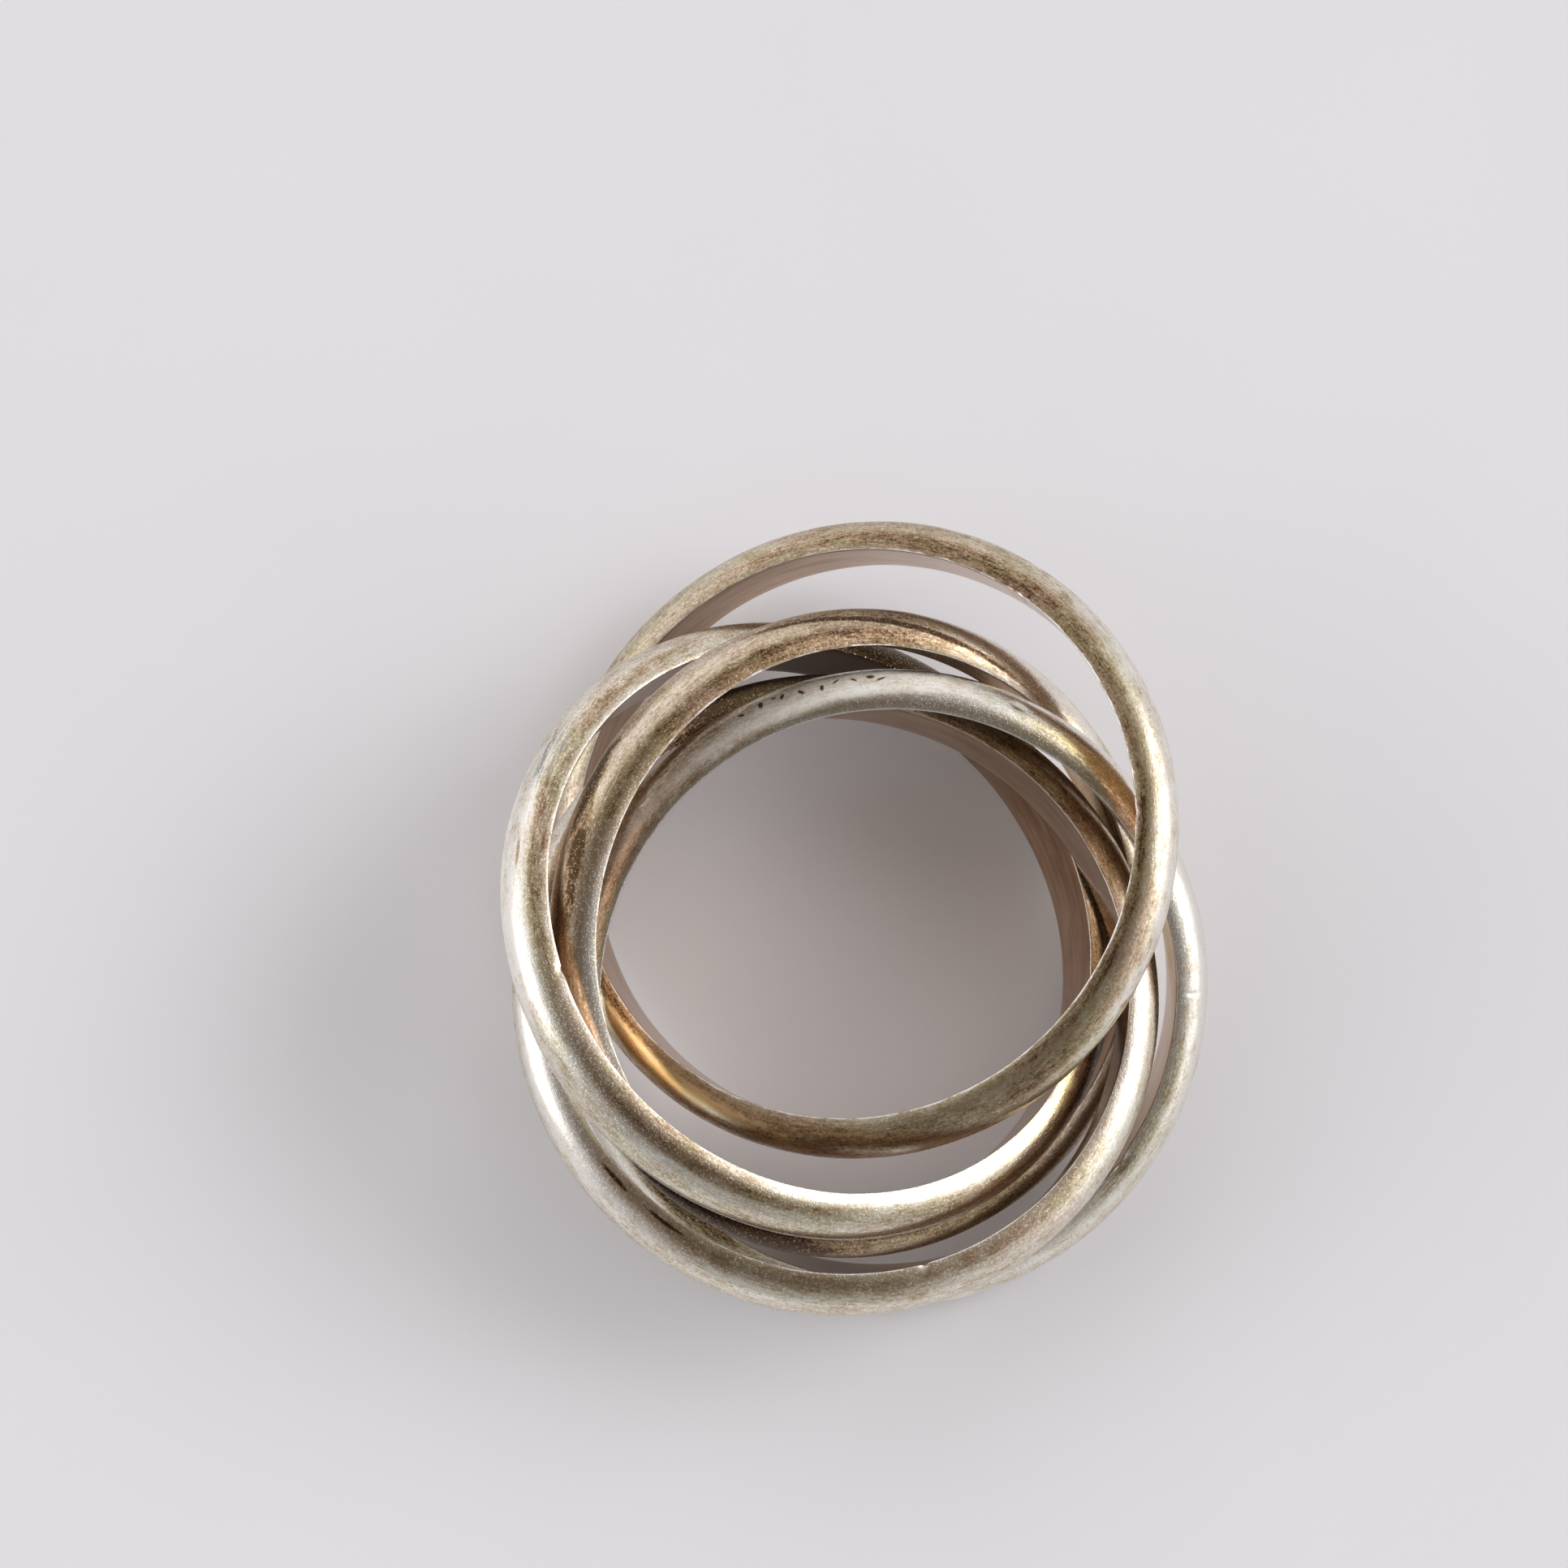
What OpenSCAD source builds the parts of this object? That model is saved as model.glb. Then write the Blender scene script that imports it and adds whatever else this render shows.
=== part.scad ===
// Rolling ring: five half-round silver bands that pass through each other,
// lying on a table as they come to rest. Millimetres, +Z up, table at z = 0.

/* [Bands] */
// Inside diameter of every band, the ring's size
inner_diameter = 18.6; // [18.4:0.1:18.8]
// Width of a band along its axis
band_width = 2.2; // [1.8:0.1:2.2]
// Thickness of a band from its flat inside to the crown of its dome
band_thickness = 1.2; // [1.15:0.05:1.2]
// Bevel that breaks the two sharp inner edges
edge_break = 0.04; // [0.02:0.01:0.06]

/* [Hidden] */
$fn = 180;

inner_radius = inner_diameter / 2;
dome_radius = band_width / 2;
// Straight side wall between the inner edge and the dome
flank = band_thickness - dome_radius;
// Circle on which the dome's centre runs
dome_path = inner_radius + flank;

// How the bands lie: x and y of the band's centre, lift of its lowest point above the table,
// tilt of the band out of level, and the direction in which its low side points.
// Three bands touch the table, the middle one hangs just clear, and the bottom one rides on top.
//            x      y      lift  tilt  low side
top_lie    = [ 0.10,  2.50, 0.0,  19.0, 171.5];
left_lie   = [-1.45, -0.45, 0.0,  23.0,  37.0];
middle_lie = [ 0.05, -0.75, 0.1,  21.5, 329.5];
right_lie  = [ 1.00, -2.50, 0.0,  16.0, 274.5];
bottom_lie = [-0.65, -2.55, 2.4,   7.0,  54.5];

// Names of the columns above
X = 0;
Y = 1;
LIFT = 2;
TILT = 3;
LOW_SIDE = 4;

// Height of a band's centre when its lowest point is at its lift
function centre_height(lie) = lie[LIFT] + dome_path * sin(lie[TILT]) + dome_radius;

// Half-round section: flat towards the finger, a full half circle outside
module band_section() {
    difference() {
        union() {
            translate([inner_radius, -dome_radius])
                square([flank, band_width]);
            intersection() {
                translate([dome_path, 0])
                    circle(r = dome_radius);
                translate([dome_path, -dome_radius])
                    square([dome_radius, band_width]);
            }
        }
        for (side = [-1, 1])
            translate([inner_radius, side * dome_radius])
                rotate(45)
                    square(edge_break * sqrt(2), center = true);
    }
}

// One closed hoop, level and centred on its own axis
module hoop() {
    rotate_extrude()
        band_section();
}

// A hoop tipped and set down where it lies
module lying_hoop(lie) {
    translate([lie[X], lie[Y], centre_height(lie)])
        rotate([0, 0, lie[LOW_SIDE]])
            rotate([0, lie[TILT], 0])
                hoop();
}

module top_band() {
    color([0.50, 0.45, 0.38]) lying_hoop(top_lie);
}

module left_band() {
    color([0.76, 0.74, 0.68]) lying_hoop(left_lie);
}

module middle_band() {
    color([0.68, 0.62, 0.53]) lying_hoop(middle_lie);
}

module right_band() {
    color([0.80, 0.79, 0.77]) lying_hoop(right_lie);
}

module bottom_band() {
    color([0.74, 0.74, 0.71]) lying_hoop(bottom_lie);
}

top_band();
left_band();
middle_band();
right_band();
bottom_band();
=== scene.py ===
import math

import bmesh
import bpy
import numpy as np
from mathutils import Matrix, Vector


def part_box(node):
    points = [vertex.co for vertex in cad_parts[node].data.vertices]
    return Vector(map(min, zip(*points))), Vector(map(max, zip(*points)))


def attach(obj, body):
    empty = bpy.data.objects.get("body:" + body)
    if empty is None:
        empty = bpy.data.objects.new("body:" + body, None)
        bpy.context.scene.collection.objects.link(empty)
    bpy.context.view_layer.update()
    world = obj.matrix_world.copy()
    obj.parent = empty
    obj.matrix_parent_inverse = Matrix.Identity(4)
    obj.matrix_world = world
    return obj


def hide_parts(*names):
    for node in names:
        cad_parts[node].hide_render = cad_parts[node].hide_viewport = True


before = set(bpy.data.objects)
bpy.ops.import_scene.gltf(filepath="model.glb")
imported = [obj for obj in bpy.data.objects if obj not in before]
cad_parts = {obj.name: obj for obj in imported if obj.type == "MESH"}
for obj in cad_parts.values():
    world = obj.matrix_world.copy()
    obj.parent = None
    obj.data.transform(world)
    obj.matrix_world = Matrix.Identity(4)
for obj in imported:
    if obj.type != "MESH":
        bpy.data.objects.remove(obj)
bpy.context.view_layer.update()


# Camera
# The ring is seen from almost straight above, from about 14 cm away, and a little from the near
# side of the table.
MM = 0.001  # one millimetre in the frame's metres
aim = Vector((-2.38, 4.13, 4.6)) * MM
camera_distance = 139.4 * MM
camera_azimuth = math.radians(251.1)
camera_elevation = math.radians(81.0)
focal_length = 98.8

towards_camera = Vector((
    math.cos(camera_elevation) * math.cos(camera_azimuth),
    math.cos(camera_elevation) * math.sin(camera_azimuth),
    math.sin(camera_elevation),
))
camera_right = Vector((0, 1, 0)).cross(towards_camera).normalized()
camera_up = towards_camera.cross(camera_right)
lens = bpy.data.cameras.new("camera")
lens.lens = focal_length
lens.sensor_width = 36.0
lens.clip_start = 10 * MM
lens.clip_end = 10.0
camera = bpy.data.objects.new("camera", lens)
camera.matrix_world = Matrix.Translation(aim + towards_camera * camera_distance) @ Matrix(
    (camera_right, camera_up, towards_camera)).transposed().to_4x4()
bpy.context.scene.collection.objects.link(camera)
bpy.context.scene.camera = camera


# Light
# A pale tent stands round the ring, with one large soft lamp half way up on the right, a weaker
# one low on the left and a broad faint one behind. Overhead, where the lens looks in, it is open
# and dark.
bpy.context.scene.view_settings.view_transform = "Standard"
tent_light = (0.62, 0.61, 0.625)
opening_light = (0.16, 0.128, 0.105)
opening_inner = math.radians(10)
opening_outer = math.radians(49)
# Each lamp: azimuth, elevation and reach from its middle in degrees, and the strength that it
# adds, or that the shade takes away
lamps = {
    "right_lamp": (17, 34, 26, 5.8),
    "right_high": (28, 58, 14, 1.2),
    "right_low": (350, 14, 34, 1.1),
    "left_lamp": (178, 19, 28, 3.0),
    "back_lamp": (112, 30, 54, 0.9),
    "front_shade": (262, 48, 58, -0.40),
}


def put(tree, kind, feeds=None, **settings):
    """A node with its settings; feeds gives each input a value or another node's output."""
    node = tree.nodes.new(kind)
    for key, value in settings.items():
        setattr(node, key, value)
    for key, value in (feeds or {}).items():
        if isinstance(value, bpy.types.NodeSocket):
            tree.links.new(value, node.inputs[key])
        else:
            node.inputs[key].default_value = value
    return node.outputs[0] if len(node.outputs) == 1 else node


def math_of(tree, operation, a, b=0.0, c=0.0, clamp=False):
    """One step of arithmetic."""
    return put(tree, "ShaderNodeMath", {0: a, 1: b, 2: c}, operation=operation, use_clamp=clamp)


def ease(tree, value, low, high, to_low=0.0, to_high=1.0):
    """Runs smoothly from to_low to to_high while value goes from low to high."""
    return put(tree, "ShaderNodeMapRange", {
        "Value": value, "From Min": low, "From Max": high, "To Min": to_low, "To Max": to_high,
    }, interpolation_type="SMOOTHSTEP").outputs["Result"]


def blend_colour(tree, factor, below, above):
    """Lays one colour over another."""
    node = put(tree, "ShaderNodeMix", {"Factor": factor}, data_type="RGBA")
    for number, colour in ((6, below), (7, above)):
        if isinstance(colour, bpy.types.NodeSocket):
            tree.links.new(colour, node.inputs[number])
        else:
            node.inputs[number].default_value = (*colour, 1)
    return node.outputs[2]


tent = bpy.data.worlds.new("light_tent")
tent.use_nodes = True
sky = tent.node_tree
sky.nodes.clear()
looking = put(sky, "ShaderNodeTexCoord").outputs["Generated"]
facing = put(sky, "ShaderNodeVectorMath", {0: looking, 1: (0.0, 0.0, 1.0)}, operation="DOT_PRODUCT")
closed = ease(sky, facing.outputs["Value"], math.cos(opening_inner), math.cos(opening_outer))
shade = blend_colour(sky, closed, opening_light, tent_light)
strength = 1.0
for azimuth, elevation, reach, added in lamps.values():
    a, e = math.radians(azimuth), math.radians(elevation)
    towards = (math.cos(e) * math.cos(a), math.cos(e) * math.sin(a), math.sin(e))
    near = put(sky, "ShaderNodeVectorMath", {0: looking, 1: towards}, operation="DOT_PRODUCT")
    glow = ease(sky, near.outputs["Value"], math.cos(math.radians(reach)), 1.0, 0.0, added)
    strength = math_of(sky, "ADD", glow, strength)
light = put(sky, "ShaderNodeBackground", {"Color": shade, "Strength": strength})
put(sky, "ShaderNodeOutputWorld", {"Surface": light})
bpy.context.scene.world = tent


# Table
# A plain board, painted matt in a pale tone a little darker and cooler than white, with faint
# clouds in the paint. The ring lies loose on it.
table_half = 0.6
table_tone = (0.955, 0.955, 0.98)
clouded_tone = tuple(0.95 * x for x in table_tone)
clouds_to_the_metre = 60.0


def grainy(tree, place, scale, detail, roughness):
    """Noise from 0 to 1, with scale features to each unit of the place."""
    made = put(tree, "ShaderNodeTexNoise", {
        "Vector": place, "Scale": scale, "Detail": detail, "Roughness": roughness})
    return made.outputs["Fac"]


bm = bmesh.new()
bmesh.ops.create_grid(bm, x_segments=1, y_segments=1, size=table_half)
tabletop = bpy.data.meshes.new("tabletop")
bm.to_mesh(tabletop)
bm.free()
table = bpy.data.objects.new("tabletop", tabletop)
bpy.context.scene.collection.objects.link(table)
table_paint = bpy.data.materials.new("table_paint")
table_paint.use_nodes = True
paint = table_paint.node_tree
matt = paint.nodes["Principled BSDF"]
over_the_board = put(paint, "ShaderNodeTexCoord").outputs["Object"]
cloudy = grainy(paint, over_the_board, clouds_to_the_metre, 3.0, 0.5)
paint.links.new(blend_colour(paint, cloudy, table_tone, clouded_tone), matt.inputs["Base Color"])
matt.inputs["Roughness"].default_value = 0.9
tabletop.materials.append(table_paint)


# Middle band
# A closed hoop of half-round sterling silver wire, drawn flat on the inside, bent round, soldered
# and filed so that no joint shows. The other bands are each closed through this one.
inner_radius = 9.3
half_width = 1.1
thickness = 1.2
edge_softness = 0.045
waviness = 0.02
dome_path = inner_radius + thickness - half_width
quarter_dome = half_width * math.pi / 2
wall_start = quarter_dome + thickness - half_width
sectors = 24
steps_in_sector = 50
steps_over_dome = 50
steps_on_edge = 4
wall_segments = 8
# Each ripple: waves round the hoop, lean across it, shift by the band's seed, and height
ripples = [(3, 0, 1, 1.0), (11, 2, 2, 1.0), (23, -3, 5, 0.6)]


def turn_on(bm, corner, centre, quarters, steps):
    """Carries the outline on from a corner, round a centre, by quarter turns."""
    turned = bmesh.ops.spin(
        bm, geom=[corner], cent=centre, axis=(0, -1, 0), angle=quarters * math.pi / 2, steps=steps)
    return next(x for x in turned["geom_last"] if isinstance(x, bmesh.types.BMVert))


def straight_on(bm, corner, place):
    """Carries the outline on in a straight line."""
    end = bm.verts.new(place)
    bm.edges.new((corner, end))
    return end


def values_of(items, name, width):
    """One attribute of many mesh items as an array."""
    values = np.zeros(len(items) * width, int if name == "vertex_index" else float)
    items.foreach_get(name, values)
    return values.reshape(-1, width)


def place_on(points):
    """Angle round the level hoop, and way across it from the crown in mm, for points in mm."""
    out = np.hypot(points[..., 0], points[..., 1]) - dome_path
    over_dome = half_width * np.arctan2(np.abs(points[..., 2]), np.maximum(out, 0))
    side_wall = np.clip(-out, 0, thickness - half_width)
    return np.arctan2(points[..., 1], points[..., 0]), np.sign(points[..., 2]) * (over_dome + side_wall)


def level_hoop():
    """The hoop lying level round the origin in mm. Slot 0 is the dome with both edges, slot 1 the
    flat bore. Its UV map "run" holds turns round the hoop, and millimetres across it."""
    bm = bmesh.new()
    near_wall = inner_radius + edge_softness
    near_side = half_width - edge_softness
    start = bm.verts.new((inner_radius, 0, -near_side))
    corner = turn_on(bm, start, (near_wall, 0, -near_side), 1, steps_on_edge)
    corner = straight_on(bm, corner, (dome_path, 0, -half_width))
    corner = turn_on(bm, corner, (dome_path, 0, 0), 2, steps_over_dome)
    corner = straight_on(bm, corner, (near_wall, 0, half_width))
    corner = turn_on(bm, corner, (near_wall, 0, near_side), 1, steps_on_edge)
    wall = bm.edges.new((corner, start))
    bmesh.ops.subdivide_edges(bm, edges=[wall], cuts=wall_segments - 1)
    bmesh.ops.spin(
        bm, geom=bm.verts[:] + bm.edges[:], cent=(0, 0, 0), axis=(0, 0, 1),
        angle=2 * math.pi / sectors, steps=steps_in_sector)
    bmesh.ops.spin(
        bm, geom=bm.verts[:] + bm.edges[:] + bm.faces[:], cent=(0, 0, 0), axis=(0, 0, 1),
        angle=2 * math.pi * (1 - 1 / sectors), steps=sectors - 1, use_duplicate=True)
    bmesh.ops.remove_doubles(bm, verts=bm.verts, dist=1e-4)
    bmesh.ops.recalc_face_normals(bm, faces=bm.faces)
    mesh = bpy.data.meshes.new("hoop")
    bm.to_mesh(mesh)
    bm.free()
    corner_of = values_of(mesh.loops, "vertex_index", 1)
    corners = values_of(mesh.vertices, "co", 3)[corner_of].reshape(-1, 4, 3)
    angle, across = place_on(corners)
    # Where the hoop closes, a face's far corners count as one whole turn on
    turn = angle / (2 * math.pi) % 1.0
    closing = turn.max(1) - turn.min(1) > 0.5
    turn += closing[:, None] * (turn < 0.5)
    out = np.hypot(corners[..., 0], corners[..., 1])
    in_bore = (out < inner_radius + 0.3 * edge_softness).all(1)
    across[in_bore] = corners[in_bore][..., 2]
    mesh.uv_layers.new(name="run").data.foreach_set("uv", np.stack([turn, across], -1).ravel())
    mesh.polygons.foreach_set("material_index", in_bore.astype(np.int32))
    return mesh


def wear(mesh, dents, seed):
    """Presses each dent in along the surface's normal, and lets the whole hoop run a little uneven."""
    points, normals = values_of(mesh.vertices, "co", 3), values_of(mesh.vertices, "normal", 3)
    angle, across = place_on(points)
    rolling = 0.0
    highest = 0.0
    for waves, lean, shift, height in ripples:
        rolling += height * np.sin(waves * angle + lean * across + shift * seed)
        highest += height
    depth = waviness * (0.5 + rolling / (2 * highest))
    for dent_angle, dent_across, along_reach, across_reach, deepest in dents:
        away = (angle - math.radians(dent_angle) + math.pi) % (2 * math.pi) - math.pi
        near = (away * dome_path / along_reach) ** 2 + ((across - dent_across) / across_reach) ** 2
        depth += deepest * np.exp(-near)
    mesh.vertices.foreach_set("co", (points - depth[:, None] * normals).ravel())


def lay_band(node, tilt, low_side, seed, dome, bore, dents=()):
    """Makes a band and tips it as its solid lies: tilt out of level, low towards low_side."""
    mesh = hoop.copy()
    mesh.name = node + "_silver"
    wear(mesh, dents, seed)
    mesh.materials.append(dome)
    mesh.materials.append(bore)
    mesh.polygons.foreach_set("use_smooth", [True] * len(mesh.polygons))
    low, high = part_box(node)
    lean, heading = math.radians(tilt), math.radians(low_side)
    tip = Matrix.Rotation(lean, 4, Vector((-math.sin(heading), math.cos(heading), 0)))
    mesh.transform(Matrix.Translation((low + high) / 2) @ tip @ Matrix.Scale(MM, 4))
    band = bpy.data.objects.new(node + "_silver", mesh)
    bpy.context.scene.collection.objects.link(band)
    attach(band, node)
    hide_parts(node)


def new_group(name, inputs, outputs):
    """An empty shader group with float inputs (name: start value) and named outputs."""
    group = bpy.data.node_groups.new(name, "ShaderNodeTree")
    for key, value in inputs.items():
        socket = group.interface.new_socket(key, in_out="INPUT", socket_type="NodeSocketFloat")
        socket.default_value = value
    for key in outputs:
        group.interface.new_socket(key, in_out="OUTPUT", socket_type="NodeSocketFloat")
    return group, put(group, "NodeGroupInput").outputs, put(group, "NodeGroupOutput").inputs


def use(tree, group, **values):
    """One of the shared effects, with this material's own values."""
    node = tree.nodes.new("ShaderNodeGroup")
    node.node_tree = group
    for key, value in values.items():
        if isinstance(value, bpy.types.NodeSocket):
            tree.links.new(value, node.inputs[key.title()])
        else:
            node.inputs[key.title()].default_value = value
    return node.outputs


def run_of(tree):
    """Turns round the hoop and millimetres across it, as two values."""
    return put(tree, "ShaderNodeSeparateXYZ", {0: put(tree, "ShaderNodeUVMap", uv_map="run")}).outputs


def along_band(tree, stretch, lift):
    """A seamless place on the hoop in millimetres; stretch under 1 draws a pattern out along the band."""
    turns, across, _ = run_of(tree)
    angle = math_of(tree, "MULTIPLY", turns, 2 * math.pi)
    x = math_of(tree, "MULTIPLY", math_of(tree, "COSINE", angle), stretch * dome_path)
    y = math_of(tree, "MULTIPLY", math_of(tree, "SINE", angle), stretch * dome_path)
    return put(tree, "ShaderNodeCombineXYZ", {0: x, 1: y, 2: math_of(tree, "ADD", across, lift)})


# Tarnish: the film's level, its grain, a ragged value that tears the rims of marks, and a slow
# drift of its hue. Each layer: stretch along the band, features to the millimetre, detail,
# roughness, and share in the level.
film_layers = {
    "cloud": (0.25, 0.7, 2.0, 0.50, 0.20),
    "mottle": (0.50, 3.0, 4.0, 0.65, 0.20),
    "grain": (0.70, 13.0, 2.0, 0.70, 0.34),
    "streak": (0.12, 15.0, 2.0, 0.60, 0.26),
}
film_spread = 3.4
streak_in_grain = 0.7
stain_step = 0.08
stain_shift = 80.0
drift_shift = 40.0
tarnish, given, made = new_group(
    "silver_tarnish", {"Cover": 0.5, "Contrast": 1.0, "Seed": 0.0}, ["Level", "Grain", "Torn", "Drift"])
layers = {}
mixed = 0.0
for layer, (stretch, scale, detail, roughness, share) in film_layers.items():
    layers[layer] = grainy(tarnish, along_band(tarnish, stretch, given["Seed"]), scale, detail, roughness)
    mixed = math_of(tarnish, "MULTIPLY_ADD", layers[layer], share, mixed)
mixed = math_of(tarnish, "MULTIPLY", math_of(tarnish, "SUBTRACT", mixed, 0.5), film_spread)
stain_place = along_band(tarnish, 0.4, math_of(tarnish, "ADD", given["Seed"], stain_shift))
stain = grainy(tarnish, stain_place, 1.8, 6.0, 0.7)
mixed = math_of(tarnish, "ADD", mixed, ease(tarnish, stain, 0.47, 0.54, -stain_step, stain_step))
level = math_of(tarnish, "MULTIPLY_ADD", mixed, given["Contrast"], given["Cover"])
grain = math_of(tarnish, "MULTIPLY_ADD", layers["streak"], streak_in_grain, layers["grain"])
drift_place = along_band(tarnish, 0.3, math_of(tarnish, "ADD", given["Seed"], drift_shift))
drift = grainy(tarnish, drift_place, 1.1, 3.0, 0.6)
tarnish.links.new(level, made["Level"])
tarnish.links.new(grain, made["Grain"])
tarnish.links.new(math_of(tarnish, "SUBTRACT", layers["mottle"], 0.5), made["Torn"])
tarnish.links.new(ease(tarnish, drift, 0.38, 0.62), made["Drift"])

# Fine scratches: broken lines that cross the hoop in four directions. Each set: turn of its lines,
# and lines to the millimetre.
scratch_sets = [
    ((0.3, 0.4, 0.9), 13.0),
    ((1.1, 0.2, 2.3), 17.0),
    ((0.7, 1.0, 4.0), 14.0),
    ((1.7, 0.5, 5.1), 16.0),
]
breaks_to_the_millimetre = 0.7
scratches, given, made = new_group("fine_scratches", {"Amount": 0.5, "Seed": 0.0}, ["Lines"])
lines = 0.0
for turn, spread in scratch_sets:
    turned = put(scratches, "ShaderNodeMapping", {
        "Vector": put(scratches, "ShaderNodeTexCoord").outputs["Object"],
        "Rotation": turn, "Scale": (spread / MM, spread / MM, breaks_to_the_millimetre / MM)})
    cut = put(scratches, "ShaderNodeTexNoise", {
        "Vector": turned, "Scale": 1.0, "Detail": 1.0, "W": given["Seed"]}, noise_dimensions="4D")
    lines = math_of(scratches, "MAXIMUM", lines, ease(scratches, cut.outputs["Fac"], 0.64, 0.70))
scratches.links.new(math_of(scratches, "MULTIPLY", lines, given["Amount"]), made["Lines"])

# A mark: one ragged patch at an angle round the band and a way across it, slanted or not. Off and
# side run from its middle along the band and across it, first in mm, then in half lengths and
# half widths.
torn_reach = 3.0
mark, given, made = new_group(
    "worn_mark", {"Angle": 0.0, "Across": 0.0, "Length": 2.0, "Width": 0.5, "Slant": 0.0,
                  "Ragged": 0.5, "Torn": 0.0}, ["Mask"])
turns, across, _ = run_of(mark)
off = math_of(mark, "SUBTRACT", turns, math_of(mark, "DIVIDE", given["Angle"], 360.0))
off = math_of(mark, "SUBTRACT", math_of(mark, "FRACT", math_of(mark, "ADD", off, 0.5)), 0.5)
off = math_of(mark, "MULTIPLY", off, 2 * math.pi * dome_path)
side = math_of(mark, "SUBTRACT", across, given["Across"])
side = math_of(mark, "SUBTRACT", side, math_of(mark, "MULTIPLY", off, given["Slant"]))
off = math_of(mark, "DIVIDE", off, given["Length"])
side = math_of(mark, "DIVIDE", side, given["Width"])
far = math_of(mark, "ADD", math_of(mark, "MULTIPLY", off, off), math_of(mark, "MULTIPLY", side, side))
far = math_of(mark, "SQRT", far)
torn_by = math_of(mark, "MULTIPLY", given["Ragged"], torn_reach)
far = math_of(mark, "MULTIPLY_ADD", given["Torn"], torn_by, far)
mark.links.new(ease(mark, far, 1.3, 0.4), made["Mask"])

# Rubbed edges: bare metal along both inner edges, as narrow as a scribed line and broken here and
# there
rub, given, made = new_group("rubbed_edges", {"Width": 0.07, "Broken": 0.3, "Torn": 0.0}, ["Mask"])
inward = math_of(rub, "SUBTRACT", wall_start, math_of(rub, "ABSOLUTE", run_of(rub)[1]))
inward = math_of(rub, "MULTIPLY_ADD", given["Torn"], given["Broken"], inward)
full_width = math_of(rub, "MULTIPLY", given["Width"], 0.4)
rub.links.new(ease(rub, inward, given["Width"], full_width), made["Mask"])


def tint(tree, factor, stops):
    """Colours along a factor: (place, (red, green, blue)) in order."""
    ramp = put(tree, "ShaderNodeValToRGB", {"Fac": factor})
    while len(ramp.color_ramp.elements) < len(stops):
        ramp.color_ramp.elements.new(0.5)
    for stop, (place, colour) in zip(ramp.color_ramp.elements, stops):
        stop.position = place
        stop.color = (*colour, 1)
    return ramp.outputs["Color"]


def held(tree, value):
    """Keeps a value from 0 to 1."""
    return math_of(tree, "ADD", value, 0.0, clamp=True)


def dulled(tree, level, thin, thick, roughness):
    """Roughness that rises a little as the film goes from thin to thick."""
    return ease(tree, level, thin, thick, roughness - 0.05, roughness + 0.08)


def masks_of(tree, marks, torn):
    """The marks of one kind added up. A row holds a mark's angle, way across, half length, half
    width, slant, raggedness and strength."""
    total = 0.0
    for angle, across, length, width, slant, ragged, strength in marks:
        here = use(tree, mark, angle=angle, across=across, length=length, width=width, slant=slant,
                   ragged=ragged, torn=torn)["Mask"]
        total = math_of(tree, "MULTIPLY_ADD", here, strength, total)
    return total


# How strongly each thing in the finish of a dome acts
scratch_brightens = 0.3
scratch_depth = 0.6
grain_middle = 0.85
grain_dulls = 0.2
chalk_dulls = 0.2


def dome_finish(name, film_tone, cover, contrast, seed, roughness, scratched,
                tarnish_and_shade=(), rubbed=(), gold_and_warm_reflection=(), cuts=(), scored=(), matte=()):
    """Satin silver under a film from clean through olive or pink-brown to nearly black; some marks paint
    shade and reflections.
    """
    material = bpy.data.materials.new(name)
    material.use_nodes = True
    tree = material.node_tree
    satin = tree.nodes["Principled BSDF"]
    film = use(tree, tarnish, cover=cover, contrast=contrast, seed=seed)
    torn = film["Torn"]
    # Tarnish marks; some of them are painted shade, and some are dark painted reflections of neighbouring
    # bands
    level = math_of(tree, "ADD", film["Level"], masks_of(tree, tarnish_and_shade, torn))
    level = math_of(tree, "SUBTRACT", level, masks_of(tree, rubbed, torn), clamp=True)
    lines = use(tree, scratches, amount=scratched, seed=seed)["Lines"]
    level = math_of(tree, "MULTIPLY_ADD", lines, -scratch_brightens, level, clamp=True)
    gouges = masks_of(tree, cuts, torn)
    level = math_of(tree, "ADD", level, gouges, clamp=True)
    colour = blend_colour(tree, film["Drift"], tint(tree, level, film_tone), tint(tree, level, brown_film))
    # Golden marks: a golden tint, and on the top band a painted warm reflection of the other bands
    colour = blend_colour(tree, held(tree, masks_of(tree, gold_and_warm_reflection, torn)), colour, gold_tint_and_reflection)
    scored_grain = ease(tree, film["Grain"], 0.7, 0.95, 0.3, 1.2)
    torn_open = math_of(tree, "MULTIPLY", masks_of(tree, scored, torn), scored_grain)
    colour = blend_colour(tree, held(tree, torn_open), colour, raw_grey)
    thin_enough = ease(tree, level, 0.95, 0.75)
    bright_edge = math_of(tree, "MULTIPLY", use(tree, rub, torn=torn)["Mask"], thin_enough)
    colour = blend_colour(tree, bright_edge, colour, bare_silver)
    tree.links.new(colour, satin.inputs["Base Color"])
    satin.inputs["Metallic"].default_value = 1.0
    dull = dulled(tree, level, 0.0, 1.0, roughness)
    if matte:
        chalky = masks_of(tree, matte, torn)
        dull = math_of(tree, "MULTIPLY_ADD", chalky, chalk_dulls, dull)
        tree.links.new(math_of(tree, "SUBTRACT", 1.0, chalky, clamp=True), satin.inputs["Metallic"])
    coarse = math_of(tree, "SUBTRACT", film["Grain"], grain_middle)
    dull = math_of(tree, "MULTIPLY_ADD", coarse, grain_dulls, dull, clamp=True)
    tree.links.new(dull, satin.inputs["Roughness"])
    height = math_of(tree, "MULTIPLY_ADD", lines, -scratch_depth, film["Grain"])
    height = math_of(tree, "SUBTRACT", height, math_of(tree, "ADD", gouges, torn_open))
    bump = put(tree, "ShaderNodeBump", {"Height": height, "Strength": 0.5, "Distance": 0.010 * MM})
    tree.links.new(bump, satin.inputs["Normal"])
    return material


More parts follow.
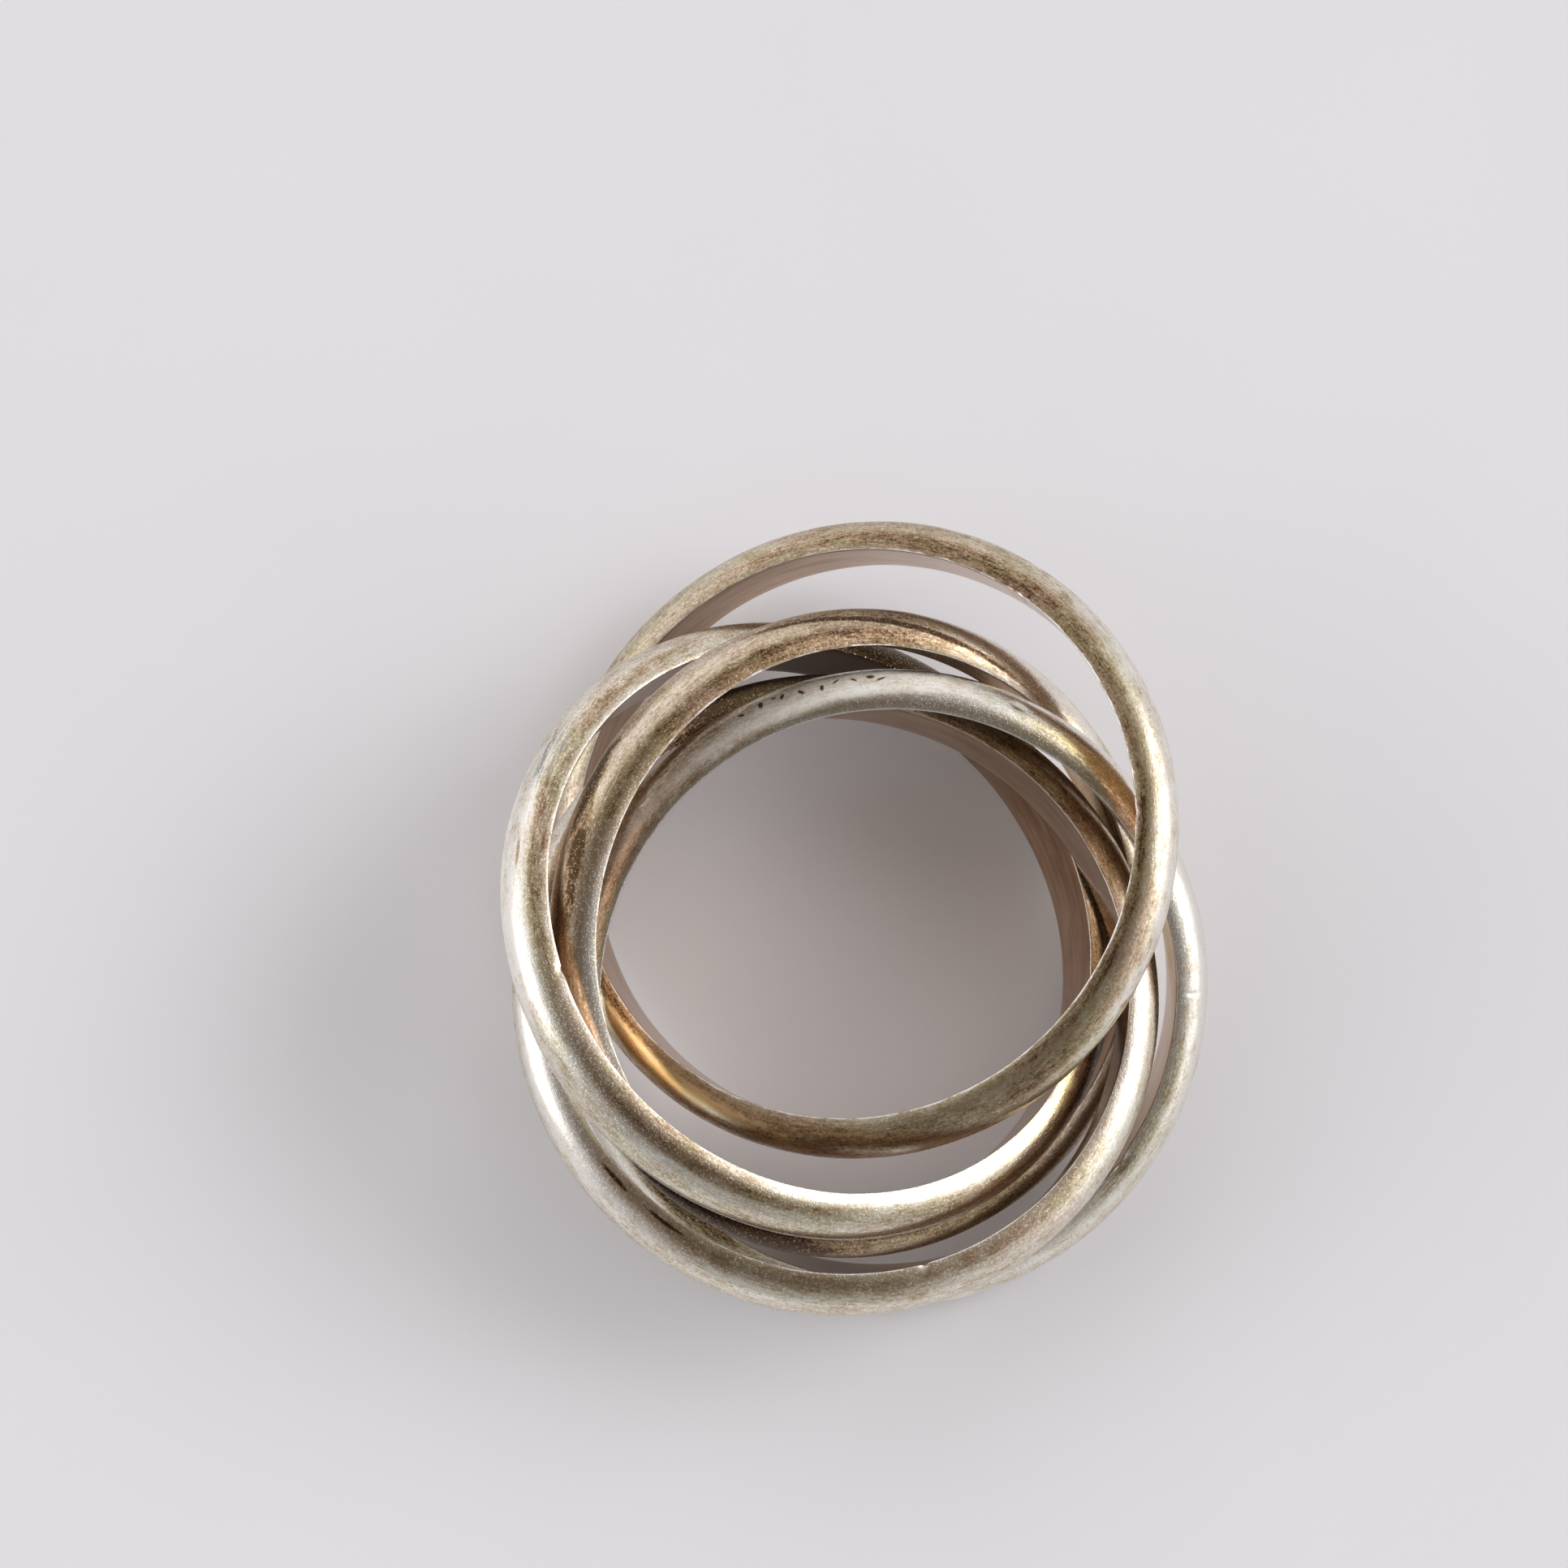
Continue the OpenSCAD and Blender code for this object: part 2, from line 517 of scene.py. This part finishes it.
def bore_finish(name, stops, seed, roughness, painted_shade=()):
    """The flat inside, worn smooth, with a thin brown film and streaks round it, and painted shade where
    it lies between bands.
    """
    material = bpy.data.materials.new(name)
    material.use_nodes = True
    tree = material.node_tree
    smooth = tree.nodes["Principled BSDF"]
    streaks = grainy(tree, along_band(tree, 0.08, seed), 4.0, 4.0, 0.6)
    clouds = grainy(tree, along_band(tree, 0.4, seed), 0.8, 3.0, 0.6)
    level = math_of(tree, "MULTIPLY_ADD", streaks, 0.5, math_of(tree, "MULTIPLY", clouds, 0.5))
    film = tint(tree, ease(tree, level, 0.3, 0.7), stops)
    # Painted shade: near-black laid over the bore where it lies in the shade between bands
    bore_shade_mask = masks_of(tree, painted_shade, 0.0)
    tree.links.new(blend_colour(tree, bore_shade_mask, film, painted_shade_tone), smooth.inputs["Base Color"])
    tree.links.new(dulled(tree, level, 0.3, 0.7, roughness), smooth.inputs["Roughness"])
    smooth.inputs["Metallic"].default_value = 1.0
    bump = put(tree, "ShaderNodeBump", {"Height": streaks, "Strength": 0.2, "Distance": 0.004 * MM})
    tree.links.new(bump, smooth.inputs["Normal"])
    return material


hoop = level_hoop()
bare_silver = (0.90, 0.88, 0.84)
raw_grey = (0.34, 0.335, 0.32)
# Golden tint, and the colour of the painted warm reflection on the top band
gold_tint_and_reflection = (1.0, 0.84, 0.42)
# Each film: level of tarnish, and the metal's colour under it
olive_film = [
    (0.0, (0.92, 0.905, 0.83)),
    (0.3, (0.73, 0.68, 0.53)),
    (0.55, (0.49, 0.42, 0.27)),
    (0.8, (0.27, 0.20, 0.105)),
    (1.0, (0.07, 0.045, 0.022)),
]
brown_film = [
    (0.0, (0.92, 0.88, 0.81)),
    (0.3, (0.73, 0.64, 0.52)),
    (0.55, (0.50, 0.385, 0.27)),
    (0.8, (0.28, 0.18, 0.11)),
    (1.0, (0.075, 0.044, 0.027)),
]
golden_film = [
    (0.0, (0.92, 0.88, 0.76)),
    (0.3, (0.72, 0.63, 0.47)),
    (0.55, (0.49, 0.39, 0.24)),
    (0.8, (0.26, 0.18, 0.095)),
    (1.0, (0.07, 0.042, 0.021)),
]
bore_film = [(0.0, (0.39, 0.240, 0.155)), (1.0, (0.68, 0.505, 0.37))]
# The near-black of the painted shade in the bores
painted_shade_tone = (0.05, 0.03, 0.02)
# Each mark: angle round the band in degrees, in mm its way across from the crown, half length and
# half width, and then its slant, raggedness and strength
middle_tarnish_and_shade = [
    (108, 1.52, 8.5, 0.42, 0.0, 0.5, 0.42),
    (113, 0.55, 7.0, 0.95, 0.0, 0.5, 0.15),
    (141, 0.15, 2.2, 0.35, 0.0, 0.4, 0.25),
    (158, 0.45, 2.6, 0.40, 0.2, 0.4, 0.50),
    (166, 1.10, 5.0, 0.45, 0.0, 0.5, 0.18),
    (172, 0.70, 1.7, 0.30, 0.0, 0.3, 0.40),
    (156, 0.15, 1.8, 0.30, 0.0, 0.3, 0.30),
    # Painted reflection: a thin dark slanting line where the top band is mirrored in the dome
    (84, 1.05, 5.0, 0.12, -0.12, 0.1, 0.60),
    (86, 0.60, 5.0, 0.35, -0.06, 0.3, 0.35),
    # Painted shade: these two darken the dome where it lies in the shade of the other bands
    (243, 0.50, 4.0, 1.00, 0.0, 0.3, 0.60),
    (280, 0.90, 11.0, 1.30, 0.0, 0.3, 0.40),
]
middle_rubbed = [
    (60, 0.75, 4.0, 0.45, -0.05, 0.2, 0.30),
    (193, 1.55, 3.6, 0.25, 0.0, 0.3, 0.40),
]
# Painted shade in the bore where it lies between bands
middle_bore_painted_shade = [(100, 0.0, 9.0, 3.0, 0.0, 0.0, 0.8)]
lay_band(
    "middle_band", tilt=21.5, low_side=329.5, seed=3.0,
    dome=dome_finish(
        "middle_dome", golden_film, cover=0.36, contrast=0.58, seed=3.0, roughness=0.32, scratched=0.8,
        tarnish_and_shade=middle_tarnish_and_shade, rubbed=middle_rubbed),
    bore=bore_finish("middle_bore", bore_film, seed=3.0, roughness=0.16, painted_shade=middle_bore_painted_shade))


# Top band
# The same hoop of half-round silver, linked through the middle one before it is soldered. It keeps
# an even brown film nearly all over. At its lower left a painted golden reflection of the other
# bands lies on bared metal.

# Each dent: angle round the band in degrees, and in mm its way across the band, its reach along and
# across, and its depth
top_dents = [
    (56.2, 1.80, 0.16, 0.12, 0.05),
    (53.8, 1.80, 0.12, 0.10, 0.05),
    (9.0, 1.80, 0.12, 0.08, 0.03),
    (1.0, 1.80, 0.20, 0.08, 0.03),
]
top_tarnished = [
    (60, 1.45, 12.0, 0.40, 0.0, 0.4, 0.28),
    (272, 0.90, 8.5, 0.80, 0.0, 0.4, 0.16),
    (335, 1.58, 7.0, 0.22, 0.0, 0.4, 0.30),
    (325, 1.00, 4.0, 0.50, 0.0, 0.6, 0.12),
    (304, 0.30, 2.8, 0.80, 0.0, 0.5, 0.22),
    (212, 1.52, 2.5, 0.25, 0.0, 0.3, 0.40),
]
top_rubbed_and_reflection = [
    (8, 0.40, 9.0, 0.50, 0.0, 0.6, 0.30),
    (354, -0.05, 5.5, 0.45, 0.0, 0.5, 0.25),
    (122, 1.00, 5.0, 1.20, 0.0, 0.4, 0.06),
    (296, 0.30, 5.0, 0.45, 0.0, 0.5, 0.25),
    # Bares the metal under the painted golden reflection
    (228, 1.12, 3.8, 0.34, 0.0, 0.3, 0.90),
]
# Painted reflection: the gold of the other bands mirrored at the lower left
top_painted_gold_reflection = [
    (227, 1.10, 3.4, 0.42, 0.0, 0.4, 0.75),
    (240, 1.20, 2.2, 0.14, 0.0, 0.3, 0.50),
]
lay_band(
    "top_band", tilt=19.0, low_side=171.5, seed=1.0, dents=top_dents,
    dome=dome_finish(
        "top_dome", olive_film, cover=0.50, contrast=0.6, seed=1.0, roughness=0.36, scratched=0.5,
        tarnish_and_shade=top_tarnished, rubbed=top_rubbed_and_reflection, gold_and_warm_reflection=top_painted_gold_reflection),
    bore=bore_finish("top_bore", bore_film, seed=1.0, roughness=0.2))


# Left band
# The same hoop of half-round silver, linked through the first two and soldered. It is rubbed
# bright and chalky along its left side, and gouged above that.
left_dents = [(196.8, 1.75, 0.20, 0.14, 0.05)]
left_tarnish_and_shade = [
    (160, 1.35, 7.5, 0.40, 0.0, 0.6, 0.42),
    (243, 1.15, 5.0, 0.26, 0.0, 0.4, 0.48),
    (231, 1.58, 4.5, 0.25, 0.0, 0.3, 0.30),
    (250, 0.25, 4.5, 0.30, 0.0, 0.5, 0.20),
    (300, 0.80, 5.5, 0.50, 0.0, 0.5, 0.24),
    # Painted shade: nearly black over the whole width where the band lies in the shade of the others
    (72, 1.00, 3.8, 2.00, 0.0, 0.2, 0.90),
    (344, 0.90, 3.5, 1.50, 0.0, 0.3, 0.60),
    (331, 0.25, 3.0, 0.50, 0.0, 0.3, 0.40),
]
left_rubbed = [
    (185, 0.75, 5.0, 0.45, 0.0, 0.4, 0.25),
    (186, 0.00, 5.0, 0.55, 0.0, 0.4, 0.28),
    (290, 1.65, 5.0, 0.30, 0.0, 0.3, 0.30),
]
left_matte = [(186, -0.05, 5.2, 0.60, 0.0, 0.4, 0.80)]
left_gilded = [(318, 1.55, 2.4, 0.35, 0.0, 1.2, 0.80)]
left_cuts = [(172.8, 0.74, 0.5, 0.070, 0.0, 0.6, 0.45)]
left_scored = [
    (152.0, 0.68, 1.10, 0.110, 0.00, 0.6, 0.75),
    (151.5, 1.08, 1.00, 0.090, 0.00, 0.6, 0.65),
    (148.5, 0.88, 0.60, 0.050, 0.05, 0.4, 0.50),
    (156.5, 0.86, 0.50, 0.050, 0.05, 0.4, 0.50),
    (150.0, 0.58, 0.70, 0.035, 0.05, 0.2, 0.80),
    (154.0, 0.75, 0.60, 0.035, 0.06, 0.2, 0.80),
    (149.0, 1.15, 0.60, 0.035, 0.05, 0.2, 0.70),
    (144.0, 0.95, 0.50, 0.040, 0.08, 0.2, 0.60),
]
# Painted shade in the bore where it lies between bands
left_bore_painted_shade = [(80, 0.0, 6.0, 3.0, 0.0, 0.0, 0.9)]
lay_band(
    "left_band", tilt=23.0, low_side=37.0, seed=5.0, dents=left_dents,
    dome=dome_finish(
        "left_dome", olive_film, cover=0.31, contrast=0.68, seed=5.0, roughness=0.29, scratched=0.9,
        tarnish_and_shade=left_tarnish_and_shade, rubbed=left_rubbed, gold_and_warm_reflection=left_gilded, cuts=left_cuts,
        scored=left_scored, matte=left_matte),
    bore=bore_finish("left_bore", bore_film, seed=5.0, roughness=0.16, painted_shade=left_bore_painted_shade))


# Right band
# The same hoop of half-round silver, linked through the first three and soldered. It is the palest
# of the five, chalky and pitted where it lies uppermost.
right_dents = [
    (67.0, 0.80, 0.28, 0.16, 0.05),
    (324.8, 1.75, 0.35, 0.16, 0.10),
    (0.8, 1.24, 0.06, 0.20, 0.04),
]
right_tarnish_and_shade = [
    (50, 1.50, 4.5, 0.45, 0.0, 0.5, 0.30),
    (48, 1.10, 3.0, 0.28, 0.0, 0.5, 0.40),
    (135, 1.58, 8.0, 0.24, 0.0, 0.4, 0.28),
    # Painted reflection: darkens the dome where it mirrors the dark inside of the middle band
    (137, 0.35, 4.0, 0.70, 0.0, 0.4, 0.55),
    # Painted shade: darkens the inner edge where it lies in the shade between the bands at the bottom
    (215, 1.60, 5.5, 0.50, 0.0, 0.3, 0.85),
    (332, 1.50, 4.5, 0.25, 0.0, 0.4, 0.25),
]
right_rubbed = [(12, 0.45, 6.5, 0.70, 0.0, 0.4, 0.20)]
right_matte = [(111, 0.90, 6.0, 0.60, 0.05, 0.25, 1.0)]
right_gilded = [(48, 1.10, 2.2, 0.25, 0.0, 0.6, 0.35)]
right_cuts = [
    (92.6, 0.72, 0.16, 0.055, 0.5, 0.3, 1.0),
    (94.4, 0.60, 0.13, 0.090, 0.0, 0.3, 1.0),
    (97.5, 0.66, 0.10, 0.060, -0.6, 0.3, 0.9),
    (100.6, 0.63, 0.12, 0.060, 0.7, 0.3, 0.9),
    (103.3, 0.80, 0.07, 0.130, 0.4, 0.3, 1.0),
    (107.1, 0.75, 0.09, 0.090, -0.8, 0.3, 0.9),
    (110.6, 0.68, 0.08, 0.110, 0.8, 0.3, 0.9),
    (112.1, 0.60, 0.10, 0.060, 0.0, 0.3, 0.8),
    (114.7, 0.66, 0.08, 0.140, 0.5, 0.3, 1.0),
    (118.6, 0.70, 0.12, 0.065, -0.5, 0.3, 0.9),
]
# Painted shade in the bore where it lies between bands
right_bore_painted_shade = [(248, 0.0, 5.0, 3.0, 0.0, 0.0, 0.55)]
lay_band(
    "right_band", tilt=16.0, low_side=274.5, seed=7.0, dents=right_dents,
    dome=dome_finish(
        "right_dome", olive_film, cover=0.14, contrast=0.75, seed=7.0, roughness=0.29, scratched=0.6,
        tarnish_and_shade=right_tarnish_and_shade, rubbed=right_rubbed, gold_and_warm_reflection=right_gilded, cuts=right_cuts,
        matte=right_matte),
    bore=bore_finish("right_bore", bore_film, seed=7.0, roughness=0.16, painted_shade=right_bore_painted_shade))


# Bottom band
# The same hoop of half-round silver, closed and soldered last, through all the others. It lies on
# top of them, with a dent and a few cuts in the upper side of its dome.
bottom_dents = [(285.5, 1.78, 0.15, 0.12, 0.05)]
bottom_tarnish_and_shade = [
    (45, 1.00, 8.0, 1.50, 0.0, 0.3, 0.32),
    # Painted shade: nearly black over the whole width where the band lies in the shade of the others
    (106, 1.00, 4.8, 2.00, 0.0, 0.2, 0.90),
    (254, 1.42, 7.5, 0.42, 0.0, 0.8, 0.30),
    (315, 1.45, 5.0, 0.30, 0.0, 0.5, 0.20),
    (340, 0.30, 3.0, 0.40, 0.0, 0.3, 0.20),
]
bottom_rubbed = [
    (200, 0.90, 5.0, 0.90, 0.0, 0.4, 0.25),
    (345, 1.30, 4.0, 0.60, 0.0, 0.3, 0.05),
]
bottom_cuts = [
    (220.5, 1.46, 0.55, 0.08, 0.0, 0.5, 0.75),
    (233.0, 1.50, 0.65, 0.06, 0.0, 0.5, 0.60),
    (264.0, 1.20, 0.45, 0.035, 0.03, 0.4, 0.25),
    (258.0, 1.05, 0.30, 0.035, 0.10, 0.4, 0.20),
]
lay_band(
    "bottom_band", tilt=7.0, low_side=54.5, seed=9.0, dents=bottom_dents,
    dome=dome_finish(
        "bottom_dome", olive_film, cover=0.27, contrast=0.70, seed=9.0, roughness=0.31, scratched=0.7,
        tarnish_and_shade=bottom_tarnish_and_shade, rubbed=bottom_rubbed, cuts=bottom_cuts),
    bore=bore_finish("bottom_bore", bore_film, seed=9.0, roughness=0.16))
